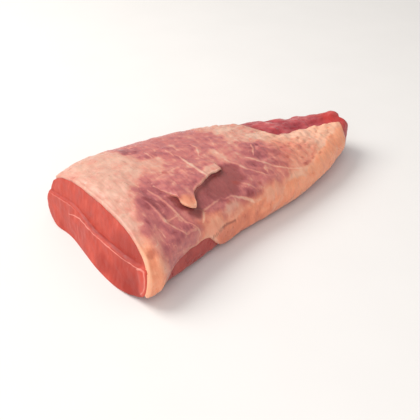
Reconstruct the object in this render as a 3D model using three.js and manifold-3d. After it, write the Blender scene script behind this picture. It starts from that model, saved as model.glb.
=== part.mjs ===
// A raw beef tri-tip: a tapering wedge of lean muscle, cut off square at its thick end, under a thin cap of
// fat and silverskin. The cap wraps over the front shoulder, leaves the lean bare below a lip and along a
// lumpy ridge at the tip, and carries one torn flap that stands up from its surface.
// Millimetres. +X runs from the cut face to the tip, +Y from the front edge to the back edge, +Z up.
import * as THREE from 'three';
import { mergeVertices } from 'three/addons/utils/BufferGeometryUtils.js';
import Module from 'manifold-3d';

const { lerp, smoothstep, clamp } = THREE.MathUtils;

// ---- Driving dimensions ----

const cutX = -130;        // the cut face, before its lean
const tipX = 131;         // the very end of the tip
const tipRound = 8;       // length over which the tip rounds off
const tipHeart = 18;      // height of the point that the tip closes to
const tipShrink = 0.75;   // share of the last section's size that the rounding takes away
const cutLean = 11;       // how far the top of the cut face leans back
const cutFoot = 3;        // how far its foot stands forward
const leanReach = 60;     // the lean fades out over this length
const bodyHeight = 44;
const soleSunk = 0.8;     // the sections dip this far below the ground, and the sole is flat where they do
const centring = new THREE.Vector3(2, 1.97, 0); // puts the origin under the middle of the bounding box

// The lean's cross-sections, each value as a smooth curve through [x, value] pairs.
const sectionTracks = {
  front: [[-130, -73], [-100, -64], [-65, -55], [-30, -47], [5, -43.5], [40, -39], [75, -29.5], [105, -17.5],
    [124, -9.4]],
  back: [[-130, 65], [-100, 70], [-65, 71], [-30, 69], [5, 64], [40, 55], [75, 43], [105, 32], [124, 18.5]],
  crown: [[-130, 45], [-100, 45.5], [-65, 44.5], [-30, 43], [5, 41], [40, 37.5], [75, 33], [105, 30.8],
    [124, 33]],
  // heights at which the sides stand out furthest
  frontBelly: [[-130, 17], [-100, 12], [-65, 12], [-30, 14], [40, 15], [124, 17]],
  backBelly: [[-130, 18], [-100, 19], [-65, 19], [5, 18], [75, 16], [124, 17]],
  // how square each quarter is: 2 is round, 4 is boxy
  frontTop: [[-130, 2.2], [-65, 2.4], [-30, 2.5], [98, 2.5], [124, 3.6]],
  backTop: [[-130, 2.7], [-65, 2.9]],
  frontSole: [[-130, 3], [-100, 4.5], [75, 4.5], [124, 3.5]],
  backSole: [[-130, 3.8], [-100, 3]],
};

// A place on the skin is (x, round): round goes 0 under the middle, 1 at the front belly, 2 at the crown,
// 3 at the back belly and 4 under the middle again. The fat cap ends at these [x, round] pairs.
const capFront = [
  [-130, 0.88], [-117, 0.89], [-105, 1.04], [-99, 1.08], [-85, 1.1], [-72, 1.1], [-64, 1.07],
  [-52, 0.88], [-42, 0.85], [-20, 0.83], [40, 0.83], [100, 0.86], [120, 0.9],
];
const capBack = [
  [-130, 2.76], [-100, 2.8], [-40, 2.78], [10, 2.74], [36, 2.62], [42, 2.3], [49, 1.97], [66, 1.93],
  [90, 1.89], [104, 1.78], [113, 1.71], [120, 1.67],
];
const cap = {
  endX: 118,        // it stops short of the tip, where the lean shows again
  endSlant: 6,      // it ends this much earlier at its front border
  cutEdge: 0.1,     // share of its thickness that is left at the cut
  cutThinning: 14,  // length over which it thins towards the cut
  clearance: 0.8,   // free gap to the lean, wide enough for both meshes' facets
  silverskin: 1.1,  // thinnest
  cutFat: 1.7,      // extra near the cut face
  frontFat: 2.2,    // extra on the front shoulder and side
  tipFat: 1.5,      // extra towards the tip
  lip: 1.3,         // extra along the lip over the bare lean
  slit: 1.4,        // depth of the lap between the lip and the side's band of fat
  slitRound: 0.985,
  lump: 0.45,
  edge: 0.9,        // thickness at its borders
  border: 0.12,     // how far round the borders thin out
  tear: 0.006,      // raggedness of the borders, and of the back one beside the ridge
  ridgeTear: 0.034,
};
const seam = {      // the step across the cut face, where the lower muscle's edge is proud of the upper one
  protrudes: 1.6,
  recess: 1.3,
  fadeBelow: 17,
  fadeAbove: 12,
  halfStep: 0.6,
  depth: 9,         // how far in from the cut it is felt
  frontEnd: -70,
  backShare: 0.6,   // share of the step that is left towards the back
};
// [y, z] pairs along the step
const seamLine = [[-72, 29], [-58, 26], [-42, 24], [-25, 23.4], [-6, 22.6], [4, 24], [14, 26.4], [28, 28],
  [46, 25.6], [66, 23]];
const hem = {       // the cut face's foot runs in and out along the floor
  low: 3,           // it is felt in full up to here, and fades out up to high
  high: 16,
  depth: 14,        // how far in from the cut it is felt
};
// [y, x] pairs: how far the foot stands back
const hemLine = [[-64, 2], [-50, -0.9], [-30, -2], [-14, -1.5], [4, 0.5], [30, 3], [38, 2.4], [46, 0.3],
  [56, 1.5]];
const groove = { depth: 2, round: 2.93, width: 0.06, length: 110 }; // the seam runs on along the back side
const ridge = {     // the bare lean along the back of the tip
  startX: 44,
  fullX: 57,
  rise: 1.9,
  lump: 0.6,
  nub: 0.9,         // the last lump, at the very tip
  nubX: 117,
};
const swell = 0.8;  // soft waves on the back side
const flap = {
  thickness: 1.9,
  lift: 4.2,        // the free edge's height over the cap
  sink: 0.5,        // how deep its root is set into the cap
  thinning: 0.55,   // the free edge's share of the thickness
  root: [[-84, -13], [-72, -3], [-52, 2], [-32, -2], [-24, -8]],
  free: [
    [-80, -17], [-77, -25], [-76, -31], [-78, -36], [-76, -41], [-73, -43], [-68, -40], [-65, -37],
    [-62, -31], [-55, -29], [-49, -27], [-43, -23], [-36, -21], [-31, -23], [-26, -22], [-24, -18],
  ],
};
const muscleGrid = { along: 35, across: 20, up: 9, tip: 4 }; // rows, the last ones on the tip's rounding
const capGrid = { along: 62, across: 30 };
const flapGrid = { along: 26, across: 5 };

// ---- Helpers ----

const rising = smoothstep;
const falling = (value, start, end) => 1 - smoothstep(value, start, end);
const within = (value, start, full, fading, end) => rising(value, start, full) * falling(value, fading, end);

function tracked(pairs) {
  const places = pairs.map(pair => pair[0]);
  const curve = new THREE.CubicInterpolant(places, pairs.map(pair => pair[1]), 1, new Float64Array(1));
  return x => curve.evaluate(clamp(x, places[0], places.at(-1)))[0];
}

// The input at which a rising function passes zero, found by halving the range.
function crossing(low, high, difference) {
  for (let i = 0; i < 24; i++) {
    const middle = (low + high) / 2;
    if (difference(middle) < 0) low = middle;
    else high = middle;
  }
  return low;
}

const sectionValues = Object.entries(sectionTracks).map(([name, pairs]) => [name, tracked(pairs)]);
const capFrontAt = tracked(capFront);
const capBackAt = tracked(capBack);
const seamHeight = tracked(seamLine);
const hemWave = tracked(hemLine);

// ---- The lean's skin ----

// One quarter of a section: a superellipse arc from the belly to the crown or the sole.
class Quarter extends THREE.Curve {
  constructor(middle, belly, bellyHeight, endHeight, squareness) {
    super();
    this.arcLengthDivisions = 60;
    Object.assign(this, { middle, belly, bellyHeight, endHeight, squareness });
  }

  getPoint(t, target = new THREE.Vector2()) {
    const angle = t * Math.PI / 2;
    const out = Math.cos(angle) ** (2 / this.squareness);
    const up = Math.sin(angle) ** (2 / this.squareness);
    return target.set(lerp(this.middle, this.belly, out), lerp(this.bellyHeight, this.endHeight, up));
  }
}

const sections = new Map();

function sectionAt(x) {
  if (!sections.has(x)) {
    const s = Object.fromEntries(sectionValues.map(([name, at]) => [name, at(x)]));
    const middle = (s.front + s.back) / 2;
    const quarters = [
      new Quarter(middle, s.front, s.frontBelly, -soleSunk, s.frontSole),
      new Quarter(middle, s.front, s.frontBelly, s.crown, s.frontTop),
      new Quarter(middle, s.back, s.backBelly, s.crown, s.backTop),
      new Quarter(middle, s.back, s.backBelly, -soleSunk, s.backSole),
    ];
    sections.set(x, { middle, quarters });
  }
  return sections.get(x);
}

// The section's outline at x, as (y, z), with the tip's rounding but without relief.
function outline(x, round) {
  const turn = ((round % 4) + 4) % 4;
  const index = Math.floor(turn);
  const along = turn - index;
  const { middle, quarters } = sectionAt(x);
  const point = quarters[index].getPointAt(index % 2 ? along : 1 - along); // each is drawn from its belly
  const into = clamp((x - (tipX - tipRound)) / tipRound, 0, 1);
  const size = 1 - tipShrink * (1 - Math.sqrt(1 - into ** 2));
  return new THREE.Vector2(lerp(middle, point.x, size), lerp(tipHeart, point.y, size));
}

// How far the skin stands out from the plain section.
function relief(x, round) {
  const onRidge = rising(x, ridge.startX, ridge.fullX) * within(round, 1.97, 2.11, 2.75, 3.05);
  const lumps = Math.sin(x / 3.9) + 0.6 * Math.sin(x / 2.3 + 6 * round);
  const nub = ridge.nub * rising(x, ridge.nubX, ridge.nubX + 6);
  const waves = swell * Math.sin(x / 11) * Math.cos(4 * round) * within(round, 2.85, 3.1, 3.5, 3.8);
  const inGroove = Math.exp(-(((round - groove.round) / groove.width) ** 2));
  const sunk = groove.depth * inGroove * falling(x, cutX, cutX + groove.length);
  return (onRidge * (ridge.rise + ridge.lump * lumps + nub) + waves - sunk) * falling(x, tipX - 4, tipX);
}

// How far the cut face stands out at (y, z).
function ledge(y, z) {
  const over = z - seamHeight(y);
  const below = seam.protrudes * falling(-over, 0, seam.fadeBelow);
  const above = -seam.recess * falling(over, 0, seam.fadeAbove);
  const step = lerp(below, above, rising(over, -seam.halfStep, seam.halfStep));
  return step * rising(y, seam.frontEnd, seam.frontEnd + 10) * lerp(1, seam.backShare, rising(y, 0, 20));
}

// The lean of the cut face, felt less and less towards the tip.
function leanedX(x, y, z) {
  const near = 1 - clamp((x - cutX) / leanReach, 0, 1);
  const lean = cutLean * clamp(z / bodyHeight, 0, 1) * near ** 2 - cutFoot * near;
  const wave = hemWave(y) * falling(z, hem.low, hem.high) * falling(x, cutX, cutX + hem.depth);
  return x + lean + wave - ledge(y, z) * falling(x, cutX, cutX + seam.depth);
}

// A point at a height over the skin, measured square to the section's outline.
function skinPoint(x, round, over = 0) {
  const step = 0.01;
  const point = outline(x, round);
  const tangent = outline(x, round + step).sub(outline(x, round - step)).normalize();
  const out = relief(x, round) + over;
  const y = point.x - tangent.y * out;
  const z = Math.max(point.y + tangent.x * out, 0);
  return new THREE.Vector3(leanedX(x, y, z), y, z);
}

// ---- The lean: a box with a fine grid, its sides laid on the skin ----

const corner = { frontSole: 0.75, frontTop: 1.45, backTop: 2.6, backSole: 3.3 }; // round at the long edges

// Where the box's point (b across, up), both from 0 to 1, lies round the section.
function boxRound(b, up) {
  if (b === 0) return lerp(corner.frontSole, corner.frontTop, up);
  if (b === 1) return lerp(corner.backSole, corner.backTop, up);
  if (up === 1) return lerp(corner.frontTop, corner.backTop, b);
  return lerp(corner.frontSole, corner.backSole - 4, b);
}

// A point of an end face, blended from the face's four edges.
function endPoint(x, b, up) {
  const edge = (across, height) => skinPoint(x, boxRound(across, height));
  const blend = new THREE.Vector3()
    .add(edge(b, 0).lerp(edge(b, 1), up))
    .add(edge(0, up).lerp(edge(1, up), b))
    .sub(edge(0, 0).lerp(edge(1, 0), b).lerp(edge(0, 1).lerp(edge(1, 1), b), up));
  if (x === cutX) blend.x = leanedX(x, blend.y, blend.z);
  return blend;
}

// Draws the two middle rows of the cut face's column b to the foot and the head of the seam's step.
function drawnToSeam(b, up) {
  const [under, over] = [-1, 1].map(side => (muscleGrid.up + side) / 2 / muscleGrid.up);
  const [foot, head] = [-1, 1].map(side => crossing(0, 1, height => {
    const point = endPoint(cutX, b, height);
    return point.z - seamHeight(point.y) - side * seam.halfStep;
  }));
  if (up <= under) return up / under * foot;
  if (up < over) return lerp(foot, head, (up - under) / (over - under));
  return lerp(head, 1, (up - over) / (1 - over));
}

// The last rows crowd towards the tip, where it rounds off.
function rowX(share) {
  const straight = 1 - muscleGrid.tip / muscleGrid.along;
  if (share <= straight) return lerp(cutX, tipX - tipRound, share / straight);
  return tipX - tipRound * (1 - Math.sin((share - straight) / (1 - straight) * Math.PI / 2));
}

// A box with a fine grid, whose points, from 0 to 1 along each side, are moved to where place puts them.
function warpedBox(along, across, up, place) {
  const box = new THREE.BoxGeometry(1, 1, 1, along, across, up).translate(0.5, 0.5, 0.5);
  const position = box.getAttribute('position');
  for (let i = 0; i < position.count; i++) {
    const share = [position.getX(i), position.getY(i), position.getZ(i)].map(v => Number(v.toFixed(6)));
    position.setXYZ(i, ...place(...share));
  }
  box.deleteAttribute('normal');
  box.deleteAttribute('uv');
  return mergeVertices(box, 1e-3);
}

function muscleGeometry() {
  const { along, across, up } = muscleGrid;
  return warpedBox(along, across, up, (a, b, c) => {
    const x = rowX(a);
    const nearCut = falling(x, cutX, cutX + leanReach);
    const row = c > 0 && c < 1 && nearCut > 0 ? lerp(c, drawnToSeam(b, c), nearCut) : c;
    const onSkin = b === 0 || b === 1 || c === 0 || c === 1;
    return onSkin ? skinPoint(x, boxRound(b, row)) : endPoint(x, b, row);
  });
}

// ---- The fat cap: a thin box laid over the lean ----

function fatThickness(x, round) {
  const fromFront = round - capFrontAt(x);
  const fromBack = capBackAt(x) - round;
  const lumps = Math.sin(x / 5.3 + 3 * round) * Math.sin(x / 8.1 - 7 * round);
  const onLip = within(x, -118, -98, -44, -34) * falling(fromFront, 0.05, 0.3);
  const inSlit = Math.exp(-(((round - cap.slitRound) / 0.035) ** 2)) * within(x, -56, -52, -36, -30);
  const full = cap.silverskin + cap.cutFat * falling(x, -88, -58) + cap.tipFat * rising(x, 46, 74)
    + cap.frontFat * falling(round, 1.12, 1.36) + cap.lump * lumps + cap.lip * onLip;
  const share = Math.min(rising(fromFront, 0, cap.border), rising(fromBack, 0, cap.border),
    lerp(cap.cutEdge, 1, rising(x, cutX, cutX + cap.cutThinning)), falling(x, cap.endX - 7, cap.endX));
  return Math.max(cap.edge, lerp(cap.edge, full, share) - cap.slit * inSlit);
}

const capSurface = (x, round, share) => skinPoint(x, round, cap.clearance + share * fatThickness(x, round));

function capGeometry() {
  const tears = x => Math.sin(x / 2.9) + 0.7 * Math.sin(x / 1.7 + 1);
  return warpedBox(capGrid.along, capGrid.across, 1, (a, b, c) => {
    const x = lerp(cutX, cap.endX - cap.endSlant * (1 - b), a);
    const front = capFrontAt(x) + cap.tear * tears(x);
    const back = capBackAt(x) + lerp(cap.tear, cap.ridgeTear, rising(x, 40, 50)) * tears(x + 40);
    return capSurface(x, lerp(front, back, b), c);
  });
}

// ---- The torn flap, rooted in the cap's top ----

const capHeight = (x, y) => capSurface(x, crossing(1.1, 2.8, round => capSurface(x, round, 1).y - y), 1).z;

function planCurve(points) {
  const flat = points.map(([x, y]) => new THREE.Vector3(x, y, 0));
  return new THREE.CatmullRomCurve3(flat, false, 'centripetal');
}

function flapGeometry() {
  const root = planCurve(flap.root);
  const free = planCurve(flap.free);
  return warpedBox(flapGrid.along, flapGrid.across, 1, (a, b, c) => {
    const out = 1 - b;
    const spot = root.getPointAt(a).lerp(free.getPointAt(a), out);
    const prongs = 0.8 + 0.2 * Math.cos(10 * (a - 0.35)); // it stands highest there
    const under = lerp(-flap.sink, flap.lift * rising(a, 0, 0.3) * prongs, out ** 1.3);
    const over = under + c * flap.thickness * lerp(1, flap.thinning, out ** 3);
    return [spot.x, spot.y, capHeight(spot.x, spot.y) + over];
  });
}

// ---- Joining and assembly ----

const wasm = await Module();
wasm.setup();

function solid(geometry) {
  return new wasm.Manifold(new wasm.Mesh({
    numProp: 3,
    vertProperties: geometry.getAttribute('position').array,
    triVerts: new Uint32Array(geometry.index.array),
  }));
}

function joined(...geometries) {
  const { vertProperties, triVerts } = geometries.map(solid).reduce((all, next) => all.add(next)).getMesh();
  const geometry = new THREE.BufferGeometry();
  geometry.setAttribute('position', new THREE.BufferAttribute(vertProperties, 3));
  return geometry.setIndex(new THREE.BufferAttribute(triVerts, 1));
}

function piece(name, geometry, material) {
  geometry.computeVertexNormals();
  const mesh = new THREE.Mesh(geometry, material);
  mesh.name = name;
  mesh.position.copy(centring);
  return mesh;
}

const leanFinish = new THREE.MeshStandardMaterial({ color: 0xcf5a52, roughness: 0.42, metalness: 0 });
const fatFinish = new THREE.MeshStandardMaterial({ color: 0xe3b09a, roughness: 0.5, metalness: 0 });

const triTip = new THREE.Group();
triTip.add(piece('lean_muscle', muscleGeometry(), leanFinish));
triTip.add(piece('fat_cap', joined(capGeometry(), flapGeometry()), fatFinish));

export default triTip;
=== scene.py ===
from math import pi, radians

import bmesh
import bpy
import numpy as np
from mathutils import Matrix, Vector, noise
from mathutils.bvhtree import BVHTree
from mathutils.kdtree import KDTree


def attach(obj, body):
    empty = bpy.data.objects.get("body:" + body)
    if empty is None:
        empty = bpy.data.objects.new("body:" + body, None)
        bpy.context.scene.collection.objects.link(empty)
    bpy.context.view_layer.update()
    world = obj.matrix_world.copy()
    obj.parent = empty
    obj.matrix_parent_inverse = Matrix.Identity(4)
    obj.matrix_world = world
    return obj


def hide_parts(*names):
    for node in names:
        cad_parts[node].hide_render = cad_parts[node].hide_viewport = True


# A raw beef tri-tip seen from its cut end: lean muscle under a cap of fat and silverskin with a torn flap.
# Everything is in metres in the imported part's frame: +X from the cut face to the tip, +Y from front to back.
# Places on the meat are written in millimetres, as (x, y) seen from above or (y, z) seen on the cut face.
# A span is the two values between which something fades in or out. A layer of noise is its amount, its size
# in mm and the seed that picks its pattern. A blob is an ellipse: x, y, half length, half width and turn.

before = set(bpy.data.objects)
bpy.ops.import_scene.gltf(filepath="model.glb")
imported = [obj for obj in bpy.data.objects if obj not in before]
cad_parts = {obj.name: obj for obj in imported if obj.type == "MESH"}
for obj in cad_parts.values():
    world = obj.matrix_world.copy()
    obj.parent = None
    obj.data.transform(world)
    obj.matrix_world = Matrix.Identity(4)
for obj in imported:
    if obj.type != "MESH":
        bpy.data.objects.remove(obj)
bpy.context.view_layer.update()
mm = 0.001


def toLinear(hexText):  # sRGB hex to linear colour with alpha
    parts = [int(hexText[i:i + 2], 16) / 255 for i in (0, 2, 4)]
    return [p / 12.92 if p <= 0.04045 else ((p + 0.055) / 1.055) ** 2.4 for p in parts] + [1]


# Sockets go by name or number. A colour Mix has its colours at 6 and 7 and gives 2, a float Mix 2, 3 and 0.
def addNode(tree, kind, settings=(), links=()):
    node = tree.nodes.new("ShaderNode" + kind)
    for key, value in dict(settings).items():
        if key == "stops":  # a colour ramp's places and hex colours
            ramp = node.color_ramp
            while len(ramp.elements) < len(value):
                ramp.elements.new(0.5)
            for element, (place, colour) in zip(ramp.elements, value):
                element.position = place
                element.color = toLinear(colour)
        elif isinstance(key, int) or key in node.inputs:
            node.inputs[key].default_value = toLinear(value) if isinstance(value, str) else value
        else:
            setattr(node, key, value)
    for key, source in dict(links).items():
        tree.links.new(source, node.inputs[key])
    return node


def perMm(size):  # the scale that gives a pattern its size in mm
    return 1 / (size * mm)


def rise(value, start, end):  # 0 before start, 1 after end, and smooth between them
    share = np.clip((value - start) / (end - start), 0, 1)
    return share * share * (3 - 2 * share)


def fall(value, start, end):
    return 1 - rise(value, start, end)


def noiseAt(points, size, seed):  # soft noise from about -1 to 1, its blobs that many mm wide
    shift = Vector((seed * 7.31, seed * 3.17, seed * 5.93))
    return np.array([noise.noise(Vector(p) / size + shift) for p in points])


def noiseSum(points, layers):
    return sum(amount * noiseAt(points, size, seed) for amount, size, seed in layers)


def strayed(flat, points, layers):  # flat places led astray by noise, so that what is drawn there wanders
    shifts = [noiseSum(points, [(amount, size, seed + i) for amount, size, seed in layers]) for i in (0, 1)]
    return flat + np.column_stack(shifts)


# each point's distance to a line through places, the same with the side as its sign, and the share along it
def segmentOffsets(at, line):
    plain = np.full(len(at), np.inf)
    signed = np.full(len(at), np.inf)
    along = np.zeros(len(at))
    line = np.array(line, float)
    for i, (start, end) in enumerate(zip(line[:-1], line[1:])):
        way = end - start
        share = np.clip((at - start) @ way / (way @ way), 0, 1)
        gap = at - start - share[:, None] * way
        far = np.hypot(gap[:, 0], gap[:, 1])
        closer = far < plain
        side = np.sign(way[0] * gap[:, 1] - way[1] * gap[:, 0])
        plain = np.where(closer, far, plain)
        signed = np.where(closer, far * side, signed)
        along = np.where(closer, (i + share) / (len(line) - 1), along)
    return plain, signed, along


def insideOf(at, outline, soft):  # 1 inside a closed outline, 0 outside, with a border soft mm wide
    outline = np.array(outline, float)
    plain = segmentOffsets(at, np.vstack([outline, outline[:1]]))[0]
    inside = np.zeros(len(at), bool)
    for a, b in zip(outline, np.roll(outline, -1, 0)):
        spans = (a[1] > at[:, 1]) != (b[1] > at[:, 1])
        crossing = a[0] + (at[:, 1] - a[1]) / (b[1] - a[1] if b[1] != a[1] else 1) * (b[0] - a[0])
        inside ^= spans & (at[:, 0] < crossing)
    return rise(np.where(inside, plain, -plain), -soft / 2, soft / 2)


def inBlob(at, blob, soft=0.7):  # 1 in the middle of a blob, 0 outside, with a border soft of its size wide
    x, y, halfLength, halfWidth, turn = blob
    away = (at - (x, y)) @ np.array([[np.cos(radians(turn)), -np.sin(radians(turn))],
                                     [np.sin(radians(turn)), np.cos(radians(turn))]])
    out = np.hypot(away[:, 0] / halfLength, away[:, 1] / halfWidth)
    border = 0.9
    return fall(out, border - soft / 2, border + soft / 2)


# for (width, power, places) lines: the distance in widths, the same with the side as its sign, and the power
def nearestLine(at, lines):
    farthest = 50.0
    near = np.full(len(at), farthest)
    signed = np.full(len(at), farthest)
    power = np.zeros(len(at))
    for width, strength, line in lines:
        plain, side, along = segmentOffsets(at, line)
        swell = np.sqrt(np.sin(pi * np.clip(along, 0.03, 0.97)))
        reach = width * (0.35 + 0.65 * swell)  # thin at the ends
        closer = plain / reach < near
        near = np.where(closer, plain / reach, near)
        signed = np.where(closer, side / reach, signed)
        power = np.where(closer, strength, power)
    return near, signed, power


def nodeCopy(name):  # a CAD node's mesh with its loose triangles merged and paired up again
    bm = bmesh.new()
    bm.from_mesh(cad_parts[name].data)
    bmesh.ops.remove_doubles(bm, verts=bm.verts, dist=0.01 * mm)
    bmesh.ops.join_triangles(bm, faces=bm.faces, angle_face_threshold=pi, angle_shape_threshold=pi)
    return bm


def treeOf(name):  # for measuring distances to a CAD node
    bm = bmesh.new()
    bm.from_mesh(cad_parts[name].data)
    tree = BVHTree.FromBMesh(bm)
    bm.free()
    return tree


def newPiece(bm, name):
    mesh = bpy.data.meshes.new(name)
    bm.to_mesh(mesh)
    bm.free()
    mesh.shade_smooth()
    piece = bpy.data.objects.new(name, mesh)
    bpy.context.scene.collection.objects.link(piece)
    return piece


def smoother(bm, levels):  # the same mesh, rounded and made finer by subdivision surfaces
    piece = newPiece(bm, "draft")
    finer = piece.modifiers.new("finer", "SUBSURF")
    finer.levels = finer.render_levels = levels
    result = bmesh.new()
    result.from_object(piece, bpy.context.evaluated_depsgraph_get())
    mesh = piece.data
    bpy.data.objects.remove(piece)
    bpy.data.meshes.remove(mesh)
    return result


def placesOf(bm):  # every vertex's place in mm, and its normal
    bm.normal_update()
    return np.array([v.co for v in bm.verts]) / mm, np.array([v.normal for v in bm.verts])


def evened(bm, values, rounds):  # each vertex's value is drawn towards its neighbours'
    bm.verts.index_update()
    ends = np.array([[v.index for v in e.verts] for e in bm.edges])
    count = np.bincount(ends.ravel(), minlength=len(values))
    for _ in range(rounds):
        total = np.bincount(ends[:, 0], values[ends[:, 1]], len(values))
        total += np.bincount(ends[:, 1], values[ends[:, 0]], len(values))
        values = (values + total / np.maximum(count, 1)) / 2
    return values


def finerWhere(bm, test):  # halves the cells whose middle and normal pass the test
    bm.normal_update()
    faces = [f for f in bm.faces if test(f.calc_center_median() / mm, f.normal)]
    edges = {e for f in faces for e in f.edges}
    bmesh.ops.subdivide_edges(bm, edges=list(edges), cuts=1, use_grid_fill=True)


def paint(bm, looks):  # stores values at the vertices, for the material to read
    for name, values in looks.items():
        layer = bm.verts.layers.float.new(name)
        for vert, value in zip(bm.verts, values):
            vert[layer] = value


def closedSheet(bm, upper, lower):  # gives a sheet two sides, at places in mm, and walls them together
    number = bm.verts.layers.int.new("number")
    for i, vert in enumerate(bm.verts):
        vert[number] = i
    copied = bmesh.ops.extrude_face_region(bm, geom=list(bm.faces), use_keep_orig=True)["geom"]
    raised = {part for part in copied if isinstance(part, bmesh.types.BMVert)}
    for vert in bm.verts:
        vert.co = Vector((upper if vert in raised else lower)[vert[number]]) * mm
    bm.verts.layers.int.remove(number)
    bmesh.ops.recalc_face_normals(bm, faces=bm.faces)


def standFor(piece, node):  # the piece rides on the meat and takes a CAD node's place
    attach(piece, "root")
    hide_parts(node)


def newMaterial(name):  # with its node tree and its shader
    material = bpy.data.materials.new(name)
    material.use_nodes = True
    tree = material.node_tree
    return material, tree, tree.nodes["Principled BSDF"]


view = {
    "place": (-298.186, -354.649, 296.363),  # mm
    "ahead": (0.5122, 0.6556, -0.5548),
    "lens": 58.03,  # mm
    "sensor": 36,  # mm
    "seesTo": 20,  # m
}
light = {  # places and sizes in m, powers in W
    "key": {"place": (-0.55, 0.75, 1.05), "size": 0.9, "power": 15.5, "colour": "fffaf5"},
    "fill": {"place": (-0.75, -0.7, 0.75), "size": 1.0, "power": 5.0, "colour": "fdfcff"},
    "sky": {"colour": "fefbf9", "strength": 0.5},
}
paper = {
    "halfWidth": 6,  # m
    "colours": ("f1f0ee", "edecea"),
    "mottle": 60,  # mm
    "roughness": 0.85,
}


def buildCamera():
    camera = bpy.data.objects.new("camera", bpy.data.cameras.new("camera"))
    camera.data.lens = view["lens"]
    camera.data.sensor_width = view["sensor"]
    camera.data.clip_end = view["seesTo"]
    camera.location = Vector(view["place"]) * mm
    camera.rotation_euler = Vector(view["ahead"]).to_track_quat("-Z", "Y").to_euler()
    bpy.context.scene.collection.objects.link(camera)
    bpy.context.scene.camera = camera


def buildLights():
    for name in ("key", "fill"):
        settings = light[name]
        lamp = bpy.data.lights.new(name, "AREA")
        lamp.size = settings["size"]
        lamp.energy = settings["power"]
        lamp.color = toLinear(settings["colour"])[:3]
        softbox = bpy.data.objects.new(name, lamp)
        softbox.location = settings["place"]
        softbox.rotation_euler = (-Vector(settings["place"])).to_track_quat("-Z", "Y").to_euler()
        bpy.context.scene.collection.objects.link(softbox)
    world = bpy.data.worlds.new("studio")
    world.use_nodes = True
    sky = world.node_tree.nodes["Background"]
    sky.inputs["Color"].default_value = toLinear(light["sky"]["colour"])
    sky.inputs["Strength"].default_value = light["sky"]["strength"]
    bpy.context.scene.world = world
    bpy.context.scene.view_settings.view_transform = "Standard"


def whitePaperboard():  # matt and slightly uneven, so that the shadow on it reads softly
    material, tree, sheet = newMaterial("whitePaperboard")
    spot = addNode(tree, "TexCoord").outputs["Object"]
    mottle = addNode(tree, "TexNoise", {"Scale": perMm(paper["mottle"])}, {"Vector": spot}).outputs["Fac"]
    paler, darker = paper["colours"]
    tint = addNode(tree, "Mix", {"data_type": "RGBA", 6: paler, 7: darker}, {0: mottle})
    sheet.inputs["Roughness"].default_value = paper["roughness"]
    tree.links.new(tint.outputs[2], sheet.inputs["Base Color"])
    return material


def buildFloor():
    bm = bmesh.new()
    bmesh.ops.create_grid(bm, x_segments=1, y_segments=1, size=paper["halfWidth"])
    floor = newPiece(bm, "floor")
    floor.data.materials.append(whitePaperboard())


buildCamera()
buildLights()
buildFloor()
print("camera, light and floor are set")

lean = {
    "grain": 0.13,  # mm, how far fibres stand out on the cut
    "lump": 0.5,  # mm, soft lumps all over
    "ridgeLump": 1.2,  # mm more, on the bare ridge
    "swelling": 0.7,  # mm that the muscle's end swells at the front of the cut
    "rimCrease": 0.72,  # how crisp the edge of the cut is, of 1
    "rimBend": 38,  # degrees, past which an edge by the cut is its rim
    "cutX": -108,  # the cut face lies before this x
    "cutFaces": -0.5,  # and its normals' x lies under this
    "levels": 2,
    # boxes with finer cells, lowest and highest corner: the bare ridge, and the front side under the lip
    "finer": [((42, -12, 16), (140, 80, 60)), ((-112, -80, 1), (-36, -44, 60))],
    "fibreScale": (0.5, 0.45, 0.12),  # per mm along x, y and z, so fibres run up and down the cut
    "fibres": [(1, 1, 3)],
    "lumps": [(1, 9, 1), (0.5, 4.5, 2)],
    "ridgeLumps": [(1, 9, 4), (0.4, 4, 5)],
    "wander": [(0.35, 4, 51)],
    "breaks": [(0.6, 3.5, 53)],  # where the membranes are faint
    # the step across the cut face, and how far from it the cut's looks cover its ledge
    "seam": [(-70, 29), (-56, 26), (-40, 24), (-23, 23.4), (-4, 22.6), (6, 24), (16, 26.4), (30, 28),
             (48, 25.6), (68, 23)],
    "ledge": (2.5, 4),
    # other membranes there: width, power, places
    "membranes": [
        (0.75, 0.8, [(33, 19), (24, 21.6), (17, 23), (9, 22.4), (2, 21.6)]),
        (1.0, 0.6, [(-58, 24), (-62, 26), (-65.5, 26), (-67.5, 22), (-68.5, 17), (-67, 12), (-64, 8)]),
    ],
    "membranePower": 0.75,
    "returnPower": 0.5,  # of the membrane under the step, past its gap
    # how much the painted shade in the groove over the step fades towards the back
    "creviceShadeFades": 0.45,
    "deepPower": 0.7,
    "bulgeBorder": 5,  # mm
    "frontBulge": [(-60, 24), (-65, 27), (-72, 27), (-75, 21), (-74, 12), (-68, 5), (-63, 9), (-62, 17)],
    "deepRed": [(-46, 12, 18, 11, 0), (-44, 30, 20, 9, 0), (-20, 8, 12, 7, 0), (-56, 6, 10, 8, 0)],
    "spans": {
        "cutX": (-116, -108),
        "cutFacing": (0.35, 0.75),
        "ledgeX": (-122, -118),
        "ridgeX": (42, 54),
        "ridgeY": (-14, -6),
        "ridgeZ": (12, 20),
        "membraneStart": (-66, -60),  # along y, under the step
        "membraneEnd": (2, 9),
        "membraneReturn": (20, 30),
        "creviceShadeStart": (-64, -50),  # along y, where the painted shade in the groove over the step starts
        # along y, where that painted shade fades
        "creviceShadeFaint": (4, 20),
        "freshX": (106, 116),  # the tip's fresh red end
        "freshZ": (25, 30),
        "overFloor": (0.5, 4),  # the relief starts over the floor
        "nearMembrane": (1.3, 1.9),  # widths from its middle
    },
}


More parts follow.
